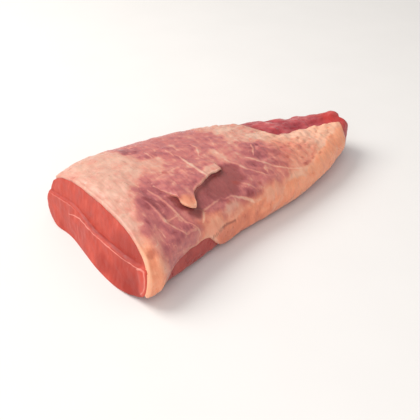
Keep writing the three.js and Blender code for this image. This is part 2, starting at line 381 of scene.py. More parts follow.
def leanLooks(places, normals):  # what the lean is like at each place
    x, y, z = places.T
    span = lean["spans"]
    onFace = places[:, 1:]
    wavy = strayed(onFace, places, lean["wander"])
    seamSide = segmentOffsets(wavy, lean["seam"])[1]
    onCut = fall(x, *span["cutX"]) * rise(-normals[:, 0], *span["cutFacing"])
    onCut = np.maximum(onCut, fall(x, *span["ledgeX"]) * fall(np.abs(seamSide), *lean["ledge"]))
    near, signed, power = nearestLine(wavy, lean["membranes"])
    broken = lean["membranePower"] + noiseSum(places, lean["breaks"])
    underStep = rise(y, *span["membraneStart"]) * fall(y, *span["membraneEnd"])
    underStep += lean["returnPower"] * rise(y, *span["membraneReturn"])
    # painted shade in the groove over the step, fainter towards the back
    creviceShade = rise(y, *span["creviceShadeStart"]) * (1 - lean["creviceShadeFades"] * rise(y, *span["creviceShadeFaint"]))
    deep = sum(inBlob(onFace, blob) for blob in lean["deepRed"])
    return {
        "onCut": onCut,
        "onRidge": rise(x, *span["ridgeX"]) * rise(y, *span["ridgeY"]) * rise(z, *span["ridgeZ"]),
        "seamSide": seamSide,
        "paleSeam": np.clip(broken, 0, 1) * underStep,
        "darkSeam": creviceShade,
        "lineSide": signed,
        "linePower": power * fall(near, *span["nearMembrane"]) * np.clip(broken + 0.2, 0, 1),
        "deep": np.clip(lean["deepPower"] * deep, 0, 1),
        "bulge": insideOf(wavy, lean["frontBulge"], lean["bulgeBorder"]),
        "fresh": rise(x, *span["freshX"]) * rise(z, *span["freshZ"]),
        # the ridge's lump height, for its relief and for the painted highlight and shade on it
        "lumps": noiseSum(places, lean["ridgeLumps"]),
    }


def buildLean():
    bm = nodeCopy("lean_muscle")
    crease = bm.edges.layers.float.new("crease_edge")
    for edge in bm.edges:
        bent = edge.calc_face_angle(0) > radians(lean["rimBend"])
        if bent and max(v.co.x for v in edge.verts) < lean["cutX"] * mm:
            edge[crease] = lean["rimCrease"]
    bm = smoother(bm, lean["levels"])
    finerWhere(bm, lambda middle, normal: middle.x < lean["cutX"] and normal.x < lean["cutFaces"])
    for lowest, highest in lean["finer"]:
        finerWhere(bm, lambda middle, normal: all(a < b < c for a, b, c in zip(lowest, middle, highest)))

    places, normals = placesOf(bm)
    looks = leanLooks(places, normals)
    height = lean["lump"] * noiseSum(places, lean["lumps"])
    height += looks["onCut"] * lean["grain"] * noiseSum(places * lean["fibreScale"], lean["fibres"])
    height += looks["onRidge"] * lean["ridgeLump"] * looks["lumps"]
    height += looks["onCut"] * looks["bulge"] * lean["swelling"]
    height *= rise(places[:, 2], *lean["spans"]["overFloor"])
    for vert, place in zip(bm.verts, places + normals * height[:, None]):
        vert.co = Vector(place) * mm
    paint(bm, looks)
    piece = newPiece(bm, "leanMuscle")
    standFor(piece, "lean_muscle")
    return piece


leanPiece = buildLean()
print("lean:", len(leanPiece.data.polygons), "faces")

# the flap's outline comes first, because the cap's painted shade beside and under the flap follows it
flap = {
    "root": [(-82, -8), (-70, -1), (-50, 4), (-30, 0), (-22, -6)],
    "free": [(-81, -12), (-78.5, -18), (-76.5, -24), (-74.5, -29), (-73.5, -33), (-74.5, -37), (-72.5, -41),
             (-68, -42.8), (-64, -40.5), (-62, -35.5), (-59, -30.5), (-54, -27.5), (-48, -25.5), (-42, -22),
             (-35, -19.5), (-30, -20), (-25, -18), (-22, -14)],
    "cells": (96, 34),  # along it, and from its root to its free edge
    "thick": 2.1,  # mm
    "thinning": 0.25,  # of that, at the free edge
    "backing": 0.2,  # mm more, all over
    "lift": 4.0,  # mm that the prongs stand over the cap
    "curve": 1.5,  # above 1, it lifts off slowly
    "droop": 0.12,  # of the lift, at the very edge
    "dip": 0.2,  # of the lift, and the dips between prongs are twice as deep
    "firstProng": 0.35,  # of the length
    "prongRate": 10,  # how closely the prongs follow
    "proud": 0.5,  # mm that it stands over the cap past its root
    "sunk": 0.35,  # mm that the root lies under the cap's surface
    "ragged": 1.1,  # mm
    "tears": [(1, 22, 3.3), (0.6, 51, 8.1)],  # amount, how closely they follow along the edge, and seed
    "waves": [(0.5, 6, 1.7), (0.25, 2.5, 4.2)],  # mm high, mm long and seed
    "patches": [(0.2, 5, 61), (0.12, 2.4, 62)],
    "creamTip": (-31, -15, 10, 6, 20),  # the last prong's pale end
    "warmTip": (-69, -38, 8, 7, 0),  # the first prong's orange end
    "warmth": 0.75,  # there
    "fat": {"base": 0.36, "rim": 0.25, "root": 0.15, "creamTip": 0.35, "warmTip": 0.22},  # of 1
    # shares of the length, from its start by the cut, and shares of the way out from its root
    "spans": {
        "start": (0.0, 0.3),
        "end": (0.93, 1.0),
        "droopOut": (0.8, 1),
        "proudOut": (0, 0.3),
        "sunkOut": (0, 0.12),
        "fillOut": (-0.02, 0.25),
        "rimOut": (0.9, 0.99),
        "startRim": (0.02, 0.06),
        "startRimOut": (0.2, 0.5),
        "rootOut": (0.05, 0.45),
    },
}
cap = {
    "tuck": 1.3,  # mm that it reaches into the gap and the lean under it
    "rounding": 1.1,  # mm over which its borders round off
    "lobule": 0.8,  # mm, bumps of fat
    "lobes": 2.2,  # mm, the rounder lobes towards the tip
    "strand": 0.45,  # mm that the pale strands stand proud
    "windowDepth": 0.8,  # mm, where the silverskin is torn away beside the flap
    "thinnest": 0.3,  # mm
    "thickest": 7,  # mm
    "atBorder": 0.9,  # mm thick where the solid cap has nothing over its underside
    "evening": 6,  # rounds that even the thickness out
    "flapArea": [(-91, -46), (-91, 12), (-13, 12), (-13, -26), (-59, -46)],
    "areaBorder": 2,  # mm
    "underFlap": 1.7,  # mm, the most there
    "underside": (1.6, 0.6),  # the solid cap's faces this near the lean, in mm, and this squarely to it
    "levels": 2,
    "bareRelief": 0.35,  # of 1, how bumpy bare skin is beside cream fat
    "lobeCrease": 0.2,
    # how fatty the skin is, from 0, bare and purplish, to 1, cream fat, and how far places depart from that
    "fat": {"base": 0.42, "purple": -0.2, "pale": 0.24, "front": 0.05, "rim": -0.12, "crestCreamAndHighlight": 0.2,
            "corner": -0.06, "lip": 0.25},
    "bandFat": (0.34, 0.33),  # at its start, and what it gains towards the tip
    "crestCreamAndHighlight": (0.8, 1.8),  # mm over the band's top, and mm wide, of a paler line there: cream fat and a painted highlight on the edge
    "warm": {"shoulder": 0.6, "lip": 0.6, "tip": 0.85, "front": 0.4},
    "opening": (0.6, 0.45),  # how bare the window is at its start, and what it gains
    "windowBorder": 8,  # mm
    "pocketBorder": 4,  # mm
    # how strong the painted shade in the pocket is, before it is clipped to 1
    "pocketDark": 1.2,
    "shadowBorder": 0.6,  # mm
    "purpleSoft": 0.35,  # the soft border of purplish blobs, of their size
    "patches": [(0.15, 10, 11), (0.1, 4.5, 12)],
    "wander": [(3, 9, 41), (1.3, 3.2, 43)],
    "strandWander": [(0.5, 4, 21)],
    "bandPatches": [(0.14, 6, 14)],
    "warmPatches": [(0.12, 12, 13)],
    "bumps": [(1, 6.5, 31), (0.6, 3.2, 32)],
    "lobeNoise": [(1, 7, 33)],
    # the top of the orange band along the front side: (x, z) on the lip, then (x, y) towards the tip
    "lipTop": [(-58, 18), (-50, 22), (-39, 22), (-3, 25)],
    "shoulder": [(-3, -45.5), (10, -44), (25, -41), (45, -37), (62, -30.5), (83, -20.5), (105, -8)],
    "slit": [(-60, 18), (-55, 21.5), (-49, 22), (-43, 21.5), (-37, 20)],  # in the lip, as (x, z)
    # the skin under the flap's first prong, painted in shade, and the window
    "pocket": [(-80, -26), (-79, -34), (-75, -40), (-71, -44.5), (-66, -46), (-60, -44), (-62, -38),
               (-72, -34), (-75, -26)],
    "window": [(-23, -14), (-12, -13), (-10, -20), (-12, -29), (-18, -33), (-24, -35), (-28, -40),
               (-38, -40), (-45, -39), (-54, -42), (-62, -44), (-67, -40), (-60, -32), (-47, -24),
               (-38, -19), (-29, -16)],
    # outlines with the width of their soft border and how much fattier the skin is inside
    "fields": {
        "byTheCut": ([(-140, 80), (-84, 80), (-76, 56), (-73, 40), (-68, 30), (-70, 20), (-74, 11), (-83, 3),
                      (-92, -3), (-99, -11), (-101, -20), (-107, -27), (-111, -37), (-112, -50), (-113, -61),
                      (-110, -68), (-106, -84), (-140, -84)], 13, 0.4),
        "backPatch": ([(-76, 60), (-60, 60), (-40, 60), (-25, 56), (-9, 50), (6, 48), (10, 38), (1, 22),
                       (-14, 12), (-30, 0), (-41, 0), (-42, 12), (-46, 20), (-58, 25), (-67, 27), (-72, 36)],
                      6, -0.08),
        "frontPatch": ([(-97, -10), (-89, -4), (-80, -4), (-77, -10), (-75, -24), (-74, -35), (-70, -38),
                        (-66, -43), (-68, -50), (-72, -55), (-84, -59), (-96, -62), (-106, -62), (-109, -52),
                        (-109, -40), (-104, -30), (-98, -22)], 9, -0.18),
        "byTheRidge": ([(2, 62), (3, 42), (8, 24), (10, 14), (16, 8), (24, 3), (36, 2), (50, -5), (64, -14),
                        (78, -22), (100, -14), (118, -2), (118, 12), (70, 32), (52, 46), (40, 62), (20, 70)],
                       7, 0.3),
        "pastTheWindow": ([(26, 12), (34, -8), (40, -22), (36, -42), (60, -60), (140, -30), (140, 30),
                           (60, 30)], 12, 0.13),
        "tip": ([(72, 20), (80, -4), (84, -30), (84, -60), (140, -40), (140, 40), (72, 40)], 16, 0.2),
    },
    "purpleBlobs": [(26, -13, 11, 6.5, -25), (12, -9, 7, 8, 20), (15, 0, 8, 5, 0), (5, -22, 8, 4, -25),
                    (-3, -27, 7, 4, -20), (11, -31, 6, 3, -25), (-21, -39, 9, 3.5, -10),
                    (-12, -42, 8, 3, -10), (28, -28, 8, 3, -25), (52, -31, 7, 2, 20), (66, -27, 7, 1.8, 20),
                    (-52, -46, 9, 3, 0), (-94, -27, 10, 6, -20), (-65, 45, 8, 9, 0)],
    "paleBlobs": [(-62, 16, 11, 8, 0), (-66, 6, 8, 7, 0), (-14, 0, 13, 3.5, 90), (-30, -9, 8, 7, 0),
                  (-22, 14, 6, 2, 60), (40, 12, 14, 6, -15), (62, 0, 14, 5, -15), (22, 34, 12, 5, -10),
                  (84, -8, 12, 6, -20), (8, 32, 5, 3, 0), (-56, -53, 14, 2.5, 0), (-34, 28, 7, 1.5, 80),
                  (-36, -46, 9, 2.5, 0), (34, -38, 9, 2.5, 10), (-102, -53, 7, 5, 0)],
    "redSpecks": [(-64, -1, 3, 1.6, -60), (49, -13, 2.6, 1.6, 0), (39, -23, 2, 1.4, 20),
                  (52, -26, 1.6, 1, 0), (51, -32, 2.2, 1.2, 20), (62, -29, 2.4, 1, 20),
                  (72, -27, 2, 0.9, 20), (-3, -37, 2, 1.2, 0), (-117, -62, 4, 2.4, 30),
                  (-37, -43, 2.6, 1.8, 0), (-21, -31, 4, 2, -20), (58, 4, 1.6, 1, 0)],
    "warmBlob": (-58, -52, 18, 7, 0),  # over the lip
    # pale strands: width in mm, power and places
    "strands": [
        (1.5, 0.5, [(-87, -14), (-86, -18), (-84, -25), (-83, -30), (-82, -36), (-81, -42), (-79, -48),
                    (-73, -55)]),
        (1.5, 0.5, [(-95, -24), (-94, -35), (-94, -44), (-90, -51), (-85, -56)]),
        (1.0, 0.35, [(-94, -44), (-87, -43), (-82, -42)]),
        (1.2, 0.4, [(-85, -56), (-80, -55), (-75, -55)]),
        (1.8, 0.75, [(-40, 13), (-41, 2), (-41, -7), (-41, -14), (-40, -22)]),
        (1.2, 0.65, [(-66, -41), (-61, -43), (-56, -42), (-51, -41), (-42, -38)]),
        (1.2, 0.6, [(-61, -43), (-63, -47), (-67, -51)]),
        (1.2, 0.5, [(-46, -33), (-42, -37), (-38, -40)]),
        (1.4, 0.7, [(-38, -40), (-32, -39), (-28, -41), (-22, -43), (-16, -45)]),
        (1.3, 0.45, [(-13, -8), (-11, -13), (-8, -18), (-5, -23), (1, -28), (9, -34)]),
        (1.2, 0.4, [(-21, -28), (-16, -34), (-12, -37), (-8, -41)]),
        (1.3, 0.5, [(4, -12), (9, -18), (14, -23), (21, -28), (32, -33), (44, -35)]),
        (1.3, 0.6, [(20, 0), (17, -6), (12, -12)]),
        (0.9, 0.6, [(-58, 34), (-58, 24)]),
        (0.9, 0.5, [(-43, 28), (-43, 16)]),
        (1.0, 0.5, [(-21, 25), (-21, 17), (-27, 6)]),
    ],
    # facing is how squarely the skin faces the front, and over is mm over the band's top
    "spans": {
        "bandOver": (-1.5, 1.5),
        "bandFacing": (0.05, 0.2),
        "bandX": (-59, -54),
        "bandFattens": (-45, 60),  # x
        "crestFacing": (0.05, 0.3),  # the paler line along the band's top: cream fat and a painted highlight
        "crestX": (-60, -50),
        "shoulderOver": (1, 9),  # warmth that fades out above the band
        "shoulderFacing": (0.1, 0.3),
        "shoulderX": (-82, -66),
        "cornerX": (-117, -109),  # the corner of the cut and the front side
        "cornerY": (-62, -46),
        "tip": (70, 112),  # x, and earlier where it is high
        "frontFacing": (0.25, 0.45),  # the front side is a little fattier
        "frontX": (-100, -80),
        "rimX": (-124, -108),  # the edge over the cut is a little less so
        "warmer": (20, 55),  # x, and earlier towards the front
        "lobedX": (0, 30),
        "lobedFacing": (0.3, 0.6),
        "windowOpens": (-74, -52),  # x, and later towards the front
        "shadow": (0.5, 3.5),  # mm from the flap's free edge, over which the painted shadow beside it fades
        "shadowX": (-72, -60),
        # the painted shade in the slit: its width in mm, and how squarely the skin there faces the front
        "slitWidth": (0.5, 1.0),
        "slitFacing": (0.2, 0.4),
        "strandProud": (0.3, 1.1),  # widths from a strand's middle
        "fromBorder": (0, 3),  # mm over which the relief starts
        "lipBorder": (0.6, 2.4),  # the fatty line along the lip's border
        "lipFacing": (0.3, 0.6),
        "lipX": (-56, -48),
    },
}


def overBand(places, at):  # mm over the orange band's top
    x, _, z = places.T
    onLip = z - np.interp(x, *zip(*cap["lipTop"]))
    pastLip = at[:, 1] - np.interp(x, *zip(*cap["shoulder"]))
    return np.where(x < cap["shoulder"][0][0], onLip, pastLip)


def shade(places, at, facing):  # painted shade: darker beside the flap, in the pocket under it and in the slit
    span = cap["spans"]
    above = places[:, :2]
    fromFlap = segmentOffsets(above, flap["free"])[0]
    uncovered = 1 - insideOf(above, flap["root"] + flap["free"][::-1], cap["shadowBorder"])
    shaded = fall(fromFlap, *span["shadow"]) * uncovered * rise(places[:, 0], *span["shadowX"])
    pocket = insideOf(at, cap["pocket"], cap["pocketBorder"])
    shaded = np.maximum(shaded, cap["pocketDark"] * pocket)
    fromSlit = segmentOffsets(places[:, [0, 2]], cap["slit"])[0]
    slit = fall(fromSlit, *span["slitWidth"]) * rise(facing, *span["slitFacing"])
    return np.clip(np.maximum(shaded, slit), 0, 1)


def capLooks(places, normals):  # what the skin is made of at each place
    x, y, z = places.T
    span = cap["spans"]
    above = places[:, :2]
    at = strayed(above, places, cap["wander"])
    facing = -normals[:, 1]
    over = overBand(places, at)
    band = fall(over, *span["bandOver"]) * rise(facing, *span["bandFacing"]) * rise(x, *span["bandX"])
    byCorner = fall(x, *span["cornerX"]) * fall(y, *span["cornerY"])
    start, gain = cap["opening"]
    torn = insideOf(at, cap["window"], cap["windowBorder"])
    torn = torn * (start + gain * rise(x + 0.5 * y, *span["windowOpens"]))

    fat = cap["fat"]
    fatness = fat["base"] + noiseSum(places, cap["patches"])
    for outline, soft, amount in cap["fields"].values():
        fatness += amount * insideOf(at, outline, soft)
    for blob in cap["purpleBlobs"]:
        fatness += fat["purple"] * inBlob(at, blob, cap["purpleSoft"])
    for blob in cap["paleBlobs"]:
        fatness += fat["pale"] * inBlob(at, blob)
    fatness += fat["front"] * rise(facing, *span["frontFacing"]) * rise(x, *span["frontX"])
    fatness += fat["rim"] * fall(x, *span["rimX"])
    start, gain = cap["bandFat"]
    onBand = start + gain * rise(x, *span["bandFattens"]) + noiseSum(places, cap["bandPatches"])
    fatness = fatness * (1 - band) + onBand * band
    # a paler line just over the band's top: cream fat, and a painted highlight where the top turns into the
    # side
    middle, width = cap["crestCreamAndHighlight"]
    crestCreamAndHighlight = rise(facing, *span["crestFacing"]) * rise(x, *span["crestX"])
    fatness += fat["crestCreamAndHighlight"] * crestCreamAndHighlight * np.exp(-((over - middle) / width) ** 2) + fat["corner"] * byCorner

    warm = cap["warm"]
    shoulder = fall(over, *span["shoulderOver"]) * rise(facing, *span["shoulderFacing"])
    warmest = np.max([
        band,
        byCorner,
        warm["shoulder"] * shoulder * rise(x, *span["shoulderX"]),
        warm["lip"] * inBlob(at, cap["warmBlob"]),
        warm["tip"] * rise(x + 0.4 * z, *span["tip"]),
        warm["front"] * rise(x - 0.5 * y, *span["warmer"]),
    ], axis=0)
    near, signed, power = nearestLine(strayed(above, places, cap["strandWander"]), cap["strands"])
    return {
        "fatness": np.clip(fatness * (1 - torn), 0, 1),
        "torn": torn,
        "dark": shade(places, at, facing),
        "strandNear": near,
        "strandSide": signed,
        "strandPower": power * (1 - 0.5 * torn),
        "specks": np.max([inBlob(above, blob) for blob in cap["redSpecks"]], axis=0),
        "warmth": np.clip(warmest + noiseSum(places, cap["warmPatches"]), 0, 1),
        "lobed": rise(x, *span["lobedX"]) * fall(facing, *span["lobedFacing"]),
    }


def innerSheet():  # the cap's underside, turned to face outwards
    bm = nodeCopy("fat_cap")
    leanTree = treeOf("lean_muscle")
    reach, turn = cap["underside"]
    others = []
    for face in bm.faces:
        middle = face.calc_center_median()
        nearest, _, _, far = leanTree.find_nearest(middle)
        if far > reach * mm or face.normal.dot((nearest - middle).normalized()) < turn:
            others.append(face)
    bmesh.ops.delete(bm, geom=others, context="FACES")
    bmesh.ops.reverse_faces(bm, faces=bm.faces)
    return smoother(bm, cap["levels"])


def capThickness(bm, places, normals):  # the solid cap's, over its underside
    tree = treeOf("fat_cap")
    start = 0.4  # mm, so that the ray clears the underside
    reach = 8  # mm
    thick = np.full(len(places), cap["atBorder"])
    for i, (place, normal) in enumerate(zip(places, normals)):
        hit = tree.ray_cast(Vector(place + normal * start) * mm, Vector(normal), reach * mm)[0]
        if hit is not None:
            thick[i] = np.linalg.norm(np.array(hit) / mm - place)
    byFlap = insideOf(places[:, :2], cap["flapArea"], cap["areaBorder"])
    thick = np.where(byFlap > 0, np.minimum(thick, cap["underFlap"]), thick)
    return evened(bm, np.minimum(thick, cap["thickest"]), cap["evening"])


def fromBorder(bm):  # each vertex's distance to the sheet's border, in mm
    borderTree = KDTree(len(bm.verts))
    for i, vert in enumerate(v for v in bm.verts if v.is_boundary):
        borderTree.insert(vert.co, i)
    borderTree.balance()
    return np.array([borderTree.find(v.co)[2] for v in bm.verts]) / mm


def buildCap():
    bm = innerSheet()
    places, normals = placesOf(bm)
    thick = capThickness(bm, places, normals)
    looks = capLooks(places, normals)
    inward = fromBorder(bm)
    span = cap["spans"]

    rounded = np.sqrt(1 - (1 - np.clip(inward / cap["rounding"], 0.02, 1)) ** 2)
    onStrand = fall(looks["strandNear"], *span["strandProud"]) * looks["strandPower"]
    fatty = cap["bareRelief"] + (1 - cap["bareRelief"]) * looks["fatness"]
    relief = cap["lobule"] * noiseSum(places, cap["bumps"]) * fatty + cap["strand"] * onStrand
    lobes = np.abs(noiseSum(places, cap["lobeNoise"])) - cap["lobeCrease"]
    relief += cap["lobes"] * looks["lobed"] * lobes
    relief -= cap["windowDepth"] * looks["torn"]
    height = np.maximum(thick + relief * rise(inward, *span["fromBorder"]), cap["thinnest"]) * rounded

    top = places + normals * height[:, None]
    looks = capLooks(top, normals)
    lip = fall(inward, *span["lipBorder"]) * rise(-normals[:, 1], *span["lipFacing"])
    lip *= fall(places[:, 0], *span["lipX"])
    looks["fatness"] = np.clip(looks["fatness"] + cap["fat"]["lip"] * lip, 0, 1)
    paint(bm, looks)
    closedSheet(bm, top, places - normals * cap["tuck"])
    piece = newPiece(bm, "fatCap")
    standFor(piece, "fat_cap")
    return piece


capPiece = buildCap()
print("cap:", len(capPiece.data.polygons), "faces")


def splinePoint(line, share):  # a smooth curve through places
    line = np.array(line, float)
    steps = np.concatenate([[0], np.cumsum(np.linalg.norm(np.diff(line, axis=0), axis=1))])
    along = share * steps[-1]
    i = min(int(np.searchsorted(steps, along, "right")) - 1, len(line) - 2)
    t = (along - steps[i]) / (steps[i + 1] - steps[i])
    before, after = line[max(i - 1, 0)], line[min(i + 2, len(line) - 1)]
    a, b = line[i], line[i + 1]
    return 0.5 * (2 * a + (b - before) * t + (2 * before - 5 * a + 4 * b - after) * t * t
                  + (3 * a - before - 3 * b + after) * t ** 3)


def flapPlace(tree, along, out):  # its upper and lower place there, both given as shares
    span = flap["spans"]
    ragged = sum(far * noise.noise(Vector((along * rate, seed, 0))) for far, rate, seed in flap["tears"])
    free = splinePoint(flap["free"], along) + flap["ragged"] * ragged * np.array([0.4, 1])
    x, y = splinePoint(flap["root"], along) * (1 - out) + free * out
    skyward = 90  # mm, well over the meat
    ground = tree.ray_cast(Vector((x, y, skyward)) * mm, Vector((0, 0, -1)))[0].z / mm

    prongs = 1 - flap["dip"] + flap["dip"] * np.cos(flap["prongRate"] * (along - flap["firstProng"]))
    ends = rise(along, *span["start"]) * fall(along, *span["end"])
    droop = 1 - flap["droop"] * rise(out, *span["droopOut"])
    lift = flap["lift"] * ends * prongs * out ** flap["curve"] * droop
    lift += flap["proud"] * rise(out, *span["proudOut"]) * ends - flap["sunk"] * fall(out, *span["sunkOut"])
    waves = sum(high * noise.noise(Vector((x / long, y / long, seed))) for high, long, seed in flap["waves"])
    top = ground + lift + waves * out
    thick = flap["thick"] * (1 - flap["thinning"] * out ** 3) * rise(out, *span["fillOut"])
    return (x, y, top), (x, y, top - thick - flap["backing"])


def flapLooks(tops, shares):  # as the cap's, but plain pink skin with a paler rim and two fatty prongs
    along, out = shares.T
    span = flap["spans"]
    fat = flap["fat"]
    looks = capLooks(tops, np.tile([0, 0, 1.0], (len(tops), 1)))
    startRim = fall(along, *span["startRim"]) * rise(out, *span["startRimOut"])
    rim = np.maximum(rise(out, *span["rimOut"]), startRim)
    fatness = fat["base"] + noiseSum(tops, flap["patches"])
    fatness += fat["rim"] * rim + fat["root"] * fall(out, *span["rootOut"])
    for name in ("creamTip", "warmTip"):
        fatness += fat[name] * inBlob(tops[:, :2], flap[name])
    looks["fatness"] = np.clip(fatness, 0, 1)
    looks["warmth"] = flap["warmth"] * inBlob(tops[:, :2], flap["warmTip"])
    # the flap carries no window and no painted shade of its own
    for name in ("torn", "dark"):
        looks[name] = np.zeros(len(tops))
    return looks


def buildFlap():
    bm = bmesh.new()
    along, out = flap["cells"]
    bmesh.ops.create_grid(bm, x_segments=along, y_segments=out, size=0.5)
    shares = np.array([v.co[:2] for v in bm.verts]) + 0.5
    tree = BVHTree.FromObject(capPiece, bpy.context.evaluated_depsgraph_get())
    tops, bottoms = (np.array(side) for side in zip(*(flapPlace(tree, *share) for share in shares)))
    paint(bm, flapLooks(tops, shares))
    closedSheet(bm, tops, bottoms)
    piece = newPiece(bm, "tornFlap")
    rounder = piece.modifiers.new("rounder", "SUBSURF")
    rounder.levels = rounder.render_levels = 1
    standFor(piece, "fat_cap")
    return piece


flapPiece = buildFlap()
print("flap:", len(flapPiece.data.polygons), "faces")

fatFinish = {
    # skin from purplish lean showing through to cream fat, and the same in the warmer fat of the sides
    "tones": [(0.0, "914448"), (0.2, "ae6063"), (0.42, "c97772"), (0.62, "da9482"), (0.84, "dcaa96"),
              (1.0, "e4b8a3")],
    "warmTones": [(0.0, "b85a48"), (0.3, "dc7f62"), (0.55, "f39974"), (0.8, "fdb08a"), (1.0, "ffbf9e")],
    "window": ("8e4647", "b06460"),  # the bare lean there, darker and lighter
    "dark": ("78302b", 0.7),  # the painted shade's colour, and how much of it there is at most
    "specks": ("a94a3e", 0.5),
    # pattern sizes in mm, and how far each moves the tone, of 1
    "mottle": (6.5, 0.5),
    "streak": (3, 0.45),
    "thread": (4.5, 0.3),
    "spots": (5, 0.26),
    "strandTone": 0.62,
    "streakTurn": 14,  # degrees from the length
    "streakStretch": (1, 0.2, 0.6),
    "calm": 0.45,  # how much less pattern shows where the skin is torn or warm
    "pore": 1.6,  # mm
    "poreBump": (0.5, 0.35),  # strength, and depth in mm
    "streakBump": (0.7, 0.7),
    "roughness": (0.24, 0.46),
    "body": {"IOR": 1.44, "Subsurface Weight": 0.12, "Subsurface Radius": (1.0, 0.35, 0.25),
             "Subsurface Scale": 3 * mm},
}


def moistFat():  # raw fat and silverskin: waxy, moist and slightly see-through, so thin skin shows the lean
    material, tree, skin = newMaterial("moistBeefFat")
    spot = addNode(tree, "TexCoord").outputs["Object"]
    read = {name: addNode(tree, "Attribute", {"attribute_name": name}).outputs["Fac"]
            for name in ("fatness", "warmth", "torn", "dark", "specks", "lobed",
                         "strandNear", "strandSide", "strandPower")}

    size, mottling = fatFinish["mottle"]
    mottle = addNode(tree, "TexNoise", {"Scale": perMm(size), "Detail": 3}, {"Vector": spot}).outputs["Fac"]
    turned = addNode(tree, "Mapping", {"Rotation": (0, 0, radians(fatFinish["streakTurn"])),
                                       "Scale": fatFinish["streakStretch"]}, {"Vector": spot}).outputs[0]
    size, streaking = fatFinish["streak"]
    streaks = addNode(tree, "TexNoise", {"Scale": perMm(size), "Detail": 3, "Roughness": 0.6},
                      {"Vector": turned}).outputs["Fac"]
    uneven = addNode(tree, "Math", {"operation": "MULTIPLY_ADD", 1: mottling, 2: -mottling / 2},
                     {0: mottle}).outputs[0]
    streaky = addNode(tree, "Math", {"operation": "MULTIPLY_ADD", 1: streaking, 2: -streaking / 2},
                      {0: streaks}).outputs[0]
    total = addNode(tree, "Math", {"operation": "ADD"}, {0: uneven, 1: streaky}).outputs[0]

    # thin pale threads, where a stretched noise passes its middle, in the lighter patches alone
    size, threading = fatFinish["thread"]
    wisps = addNode(tree, "TexNoise", {"Scale": perMm(size), "Detail": 1.5},
                    {"Vector": turned}).outputs["Fac"]
    middle = addNode(tree, "Math", {"operation": "SUBTRACT", 1: 0.5}, {0: wisps}).outputs[0]
    middle = addNode(tree, "Math", {"operation": "ABSOLUTE"}, {0: middle}).outputs[0]
    thread = addNode(tree, "MapRange", {"From Max": 0.03, "To Min": threading, "To Max": 0},
                     {"Value": middle}).outputs[0]
    patchy = addNode(tree, "MapRange", {"From Min": 0.5, "From Max": 0.6}, {"Value": mottle}).outputs[0]
    thread = addNode(tree, "Math", {"operation": "MULTIPLY"}, {0: thread, 1: patchy}).outputs[0]
    total = addNode(tree, "Math", {"operation": "ADD"}, {0: total, 1: thread}).outputs[0]

    # thick fat, torn skin and warm fat are calmer
    thin = addNode(tree, "MapRange", {"From Min": 0.55, "From Max": 0.85, "To Min": 1, "To Max": 0.3},
                   {"Value": read["fatness"]}).outputs[0]
    total = addNode(tree, "Math", {"operation": "MULTIPLY"}, {0: total, 1: thin}).outputs[0]
    for name in ("torn", "warmth"):
        calm = addNode(tree, "Math", {"operation": "MULTIPLY_ADD", 1: -fatFinish["calm"], 2: 1.0},
                       {0: read[name]}).outputs[0]
        total = addNode(tree, "Math", {"operation": "MULTIPLY"}, {0: total, 1: calm}).outputs[0]

    # pink spots between some of the lobules of fat
    size, spotting = fatFinish["spots"]
    cells = addNode(tree, "TexVoronoi", {"Scale": perMm(size)}, {"Vector": spot})
    dot = addNode(tree, "MapRange", {"From Min": 0.12, "From Max": 0.38, "To Min": spotting, "To Max": 0},
                  {"Value": cells.outputs["Distance"]}).outputs[0]
    some = addNode(tree, "Math", {"operation": "GREATER_THAN", 1: 0.55},
                   {0: cells.outputs["Color"]}).outputs[0]
    for share in (some, read["lobed"]):
        dot = addNode(tree, "Math", {"operation": "MULTIPLY"}, {0: dot, 1: share}).outputs[0]
    total = addNode(tree, "Math", {"operation": "SUBTRACT"}, {0: total, 1: dot}).outputs[0]
    level = addNode(tree, "Math", {"operation": "ADD"}, {0: total, 1: read["fatness"]}).outputs[0]

    # the strands, crisp across and faint at their ends
    across = addNode(tree, "Math", {"operation": "ABSOLUTE"}, {0: read["strandSide"]}).outputs[0]
    line = addNode(tree, "MapRange", {"interpolation_type": "SMOOTHSTEP", "From Min": 1.0, "From Max": 0.3,
                                      "To Max": fatFinish["strandTone"]}, {"Value": across}).outputs[0]
    close = addNode(tree, "MapRange", {"From Min": 1.9, "From Max": 1.3},
                    {"Value": read["strandNear"]}).outputs[0]
    for share in (close, read["strandPower"]):
        line = addNode(tree, "Math", {"operation": "MULTIPLY"}, {0: line, 1: share}).outputs[0]
    level = addNode(tree, "Math", {"operation": "ADD"}, {0: line, 1: level}).outputs[0]

    tone = addNode(tree, "ValToRGB", {"stops": fatFinish["tones"]}, {"Fac": level}).outputs["Color"]
    warmTone = addNode(tree, "ValToRGB", {"stops": fatFinish["warmTones"]}, {"Fac": level}).outputs["Color"]
    colour = addNode(tree, "Mix", {"data_type": "RGBA"}, {0: read["warmth"], 6: tone, 7: warmTone}).outputs[2]
    darker, lighter = fatFinish["window"]
    soft = addNode(tree, "MapRange", {"From Min": -0.2, "From Max": 0.25}, {"Value": total}).outputs[0]
    bare = addNode(tree, "Mix", {"data_type": "RGBA", 6: darker, 7: lighter}, {0: soft}).outputs[2]
    bare = addNode(tree, "Mix", {"data_type": "RGBA"}, {0: line, 6: bare, 7: tone}).outputs[2]
    colour = addNode(tree, "Mix", {"data_type": "RGBA"}, {0: read["torn"], 6: colour, 7: bare}).outputs[2]
    # the painted shade beside and under the flap and in the slit, then the red specks
    for name in ("dark", "specks"):
        tint, most = fatFinish[name]
        share = addNode(tree, "Math", {"operation": "MULTIPLY", 1: most}, {0: read[name]}).outputs[0]
        colour = addNode(tree, "Mix", {"data_type": "RGBA", 7: tint}, {0: share, 6: colour}).outputs[2]
    tree.links.new(colour, skin.inputs["Base Color"])

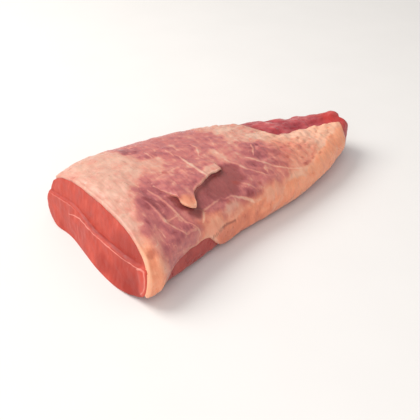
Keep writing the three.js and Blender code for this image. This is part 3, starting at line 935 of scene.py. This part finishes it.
    pores = addNode(tree, "TexNoise", {"Scale": perMm(fatFinish["pore"]), "Detail": 3, "Roughness": 0.6},
                    {"Vector": spot}).outputs["Fac"]
    strength, depth = fatFinish["poreBump"]
    bump = addNode(tree, "Bump", {"Strength": strength, "Distance": depth * mm}, {"Height": pores}).outputs[0]
    strength, depth = fatFinish["streakBump"]
    bump = addNode(tree, "Bump", {"Strength": strength, "Distance": depth * mm},
                   {"Height": streaks, "Normal": bump}).outputs[0]
    tree.links.new(bump, skin.inputs["Normal"])
    wettest, driest = fatFinish["roughness"]
    gloss = addNode(tree, "MapRange", {"From Min": 0.3, "From Max": 0.7, "To Min": wettest, "To Max": driest},
                    {"Value": mottle}).outputs[0]
    tree.links.new(gloss, skin.inputs["Roughness"])
    for name, value in fatFinish["body"].items():
        skin.inputs[name].default_value = value
    return material


leanFinish = {
    "cut": [(0.3, "b23c2e"), (0.45, "bd4334"), (0.58, "c74d3d"), (0.72, "d36252")],
    "side": [(0.3, "993a37"), (0.5, "b04a44"), (0.7, "c15c53")],
    # the ridge's tones, from painted shade in the hollows to pale pink painted highlights on the lumps, with
    # its own blotches as well
    "ridge": [(0.2, "8e2a34"), (0.42, "ae4148"), (0.6, "c4585b"), (0.76, "dd8884")],
    "deep": ("9a2a20", 0.75),  # colour, and how much of it there is at most
    "bulge": ("d4513f", 0.7),
    "fresh": ("c23a34", 0.75),
    # colour, and mm over the step's line where it starts, is strongest and ends: first the painted shade in
    # the groove over the step, then the pale membrane under it
    "darkSeam": ("9c2c24", (-0.6, 0.3, 1.5)),
    "paleSeam": ("ee9f90", (-1.9, -1.2, -0.7)),
    "membrane": "ee9f90",
    "fibre": 2.8,  # mm across
    "fibreTurn": -14,  # degrees from upright on the cut
    "fibreStretch": (0.6, 1, 0.2),
    "blotch": 11,  # mm
    "blotching": 0.72,  # of 1, how much blotches count against fibres
    "lumpHighlightAndShade": 0.22,  # how much paler the ridge's lumps are painted on top, and darker in their hollows: painted highlight and shade
    "dent": 5,  # mm
    "fibreBump": (0.2, 0.25),  # strength, and depth in mm
    "dentBump": (0.5, 0.8),
    "roughness": (0.2, 0.42),
    "cutRougher": 0.16,
    "body": {"IOR": 1.4, "Subsurface Weight": 0.1, "Subsurface Radius": (1.0, 0.3, 0.2),
             "Subsurface Scale": 3 * mm},
}


def moistLean():  # raw lean beef, cut across its fibres: wet, with a short grain and pale membranes
    material, tree, flesh = newMaterial("moistBeefLean")
    spot = addNode(tree, "TexCoord").outputs["Object"]
    read = {name: addNode(tree, "Attribute", {"attribute_name": name}).outputs["Fac"]
            for name in ("onCut", "onRidge", "seamSide", "paleSeam", "darkSeam", "lineSide", "linePower",
                         "deep", "bulge", "fresh", "lumps")}

    turned = addNode(tree, "Mapping", {"Rotation": (radians(leanFinish["fibreTurn"]), 0, 0),
                                       "Scale": leanFinish["fibreStretch"]}, {"Vector": spot}).outputs[0]
    fibres = addNode(tree, "TexNoise", {"Scale": perMm(leanFinish["fibre"]), "Detail": 3, "Roughness": 0.55,
                                        "Distortion": 0.4}, {"Vector": turned}).outputs["Fac"]
    blotch = addNode(tree, "TexNoise", {"Scale": perMm(leanFinish["blotch"]), "Detail": 4},
                     {"Vector": spot}).outputs["Fac"]
    both = addNode(tree, "Mix", {"data_type": "FLOAT", 0: leanFinish["blotching"]},
                   {2: fibres, 3: blotch}).outputs[0]
    # the ridge's tone rises with its lump height: a painted highlight on the lumps and painted shade in the
    # hollows
    knobsWithPaintedLight = addNode(tree, "Math", {"operation": "MULTIPLY_ADD", 1: leanFinish["lumpHighlightAndShade"]},
                    {0: read["lumps"], 2: both}).outputs[0]
    tones = {name: addNode(tree, "ValToRGB", {"stops": leanFinish[name]}, {"Fac": level}).outputs["Color"]
             for name, level in (("cut", both), ("side", both), ("ridge", knobsWithPaintedLight))}
    for where, name in (("cut", "deep"), ("cut", "bulge"), ("ridge", "fresh")):
        tint, most = leanFinish[name]
        share = addNode(tree, "Math", {"operation": "MULTIPLY", 1: most}, {0: read[name]}).outputs[0]
        tones[where] = addNode(tree, "Mix", {"data_type": "RGBA", 7: tint},
                               {0: share, 6: tones[where]}).outputs[2]

    # the painted shade in the groove over the step and the pale membrane under it, then the other membranes
    for name in ("darkSeam", "paleSeam"):
        tint, (low, peak, high) = leanFinish[name]
        share = read[name]
        for end in (low, high):
            within = addNode(tree, "MapRange", {"From Min": end, "From Max": peak},
                             {"Value": read["seamSide"]}).outputs[0]
            share = addNode(tree, "Math", {"operation": "MULTIPLY"}, {0: within, 1: share}).outputs[0]
        tones["cut"] = addNode(tree, "Mix", {"data_type": "RGBA", 7: tint},
                               {0: share, 6: tones["cut"]}).outputs[2]
    across = addNode(tree, "Math", {"operation": "ABSOLUTE"}, {0: read["lineSide"]}).outputs[0]
    line = addNode(tree, "MapRange", {"From Min": 1.0, "From Max": 0.3}, {"Value": across}).outputs[0]
    line = addNode(tree, "Math", {"operation": "MULTIPLY"}, {0: line, 1: read["linePower"]}).outputs[0]
    tones["cut"] = addNode(tree, "Mix", {"data_type": "RGBA", 7: leanFinish["membrane"]},
                           {0: line, 6: tones["cut"]}).outputs[2]

    colour = tones["side"]
    for name, where in (("ridge", "onRidge"), ("cut", "onCut")):
        colour = addNode(tree, "Mix", {"data_type": "RGBA"},
                         {0: read[where], 6: colour, 7: tones[name]}).outputs[2]
    tree.links.new(colour, flesh.inputs["Base Color"])

    strength, depth = leanFinish["fibreBump"]
    bump = addNode(tree, "Bump", {"Strength": strength, "Distance": depth * mm},
                   {"Height": fibres}).outputs[0]
    dents = addNode(tree, "TexNoise", {"Scale": perMm(leanFinish["dent"])}, {"Vector": spot}).outputs["Fac"]
    strength, depth = leanFinish["dentBump"]
    bump = addNode(tree, "Bump", {"Strength": strength, "Distance": depth * mm},
                   {"Height": dents, "Normal": bump}).outputs[0]
    tree.links.new(bump, flesh.inputs["Normal"])
    wettest, driest = leanFinish["roughness"]
    gloss = addNode(tree, "MapRange", {"From Min": 0.3, "From Max": 0.7, "To Min": wettest, "To Max": driest},
                    {"Value": blotch}).outputs[0]
    gloss = addNode(tree, "Math", {"operation": "MULTIPLY_ADD", 1: leanFinish["cutRougher"]},
                    {0: read["onCut"], 2: gloss}).outputs[0]
    tree.links.new(gloss, flesh.inputs["Roughness"])
    for name, value in leanFinish["body"].items():
        flesh.inputs[name].default_value = value
    return material


fatMaterial = moistFat()
capPiece.data.materials.append(fatMaterial)
flapPiece.data.materials.append(fatMaterial)
leanPiece.data.materials.append(moistLean())
print("finishes are on")
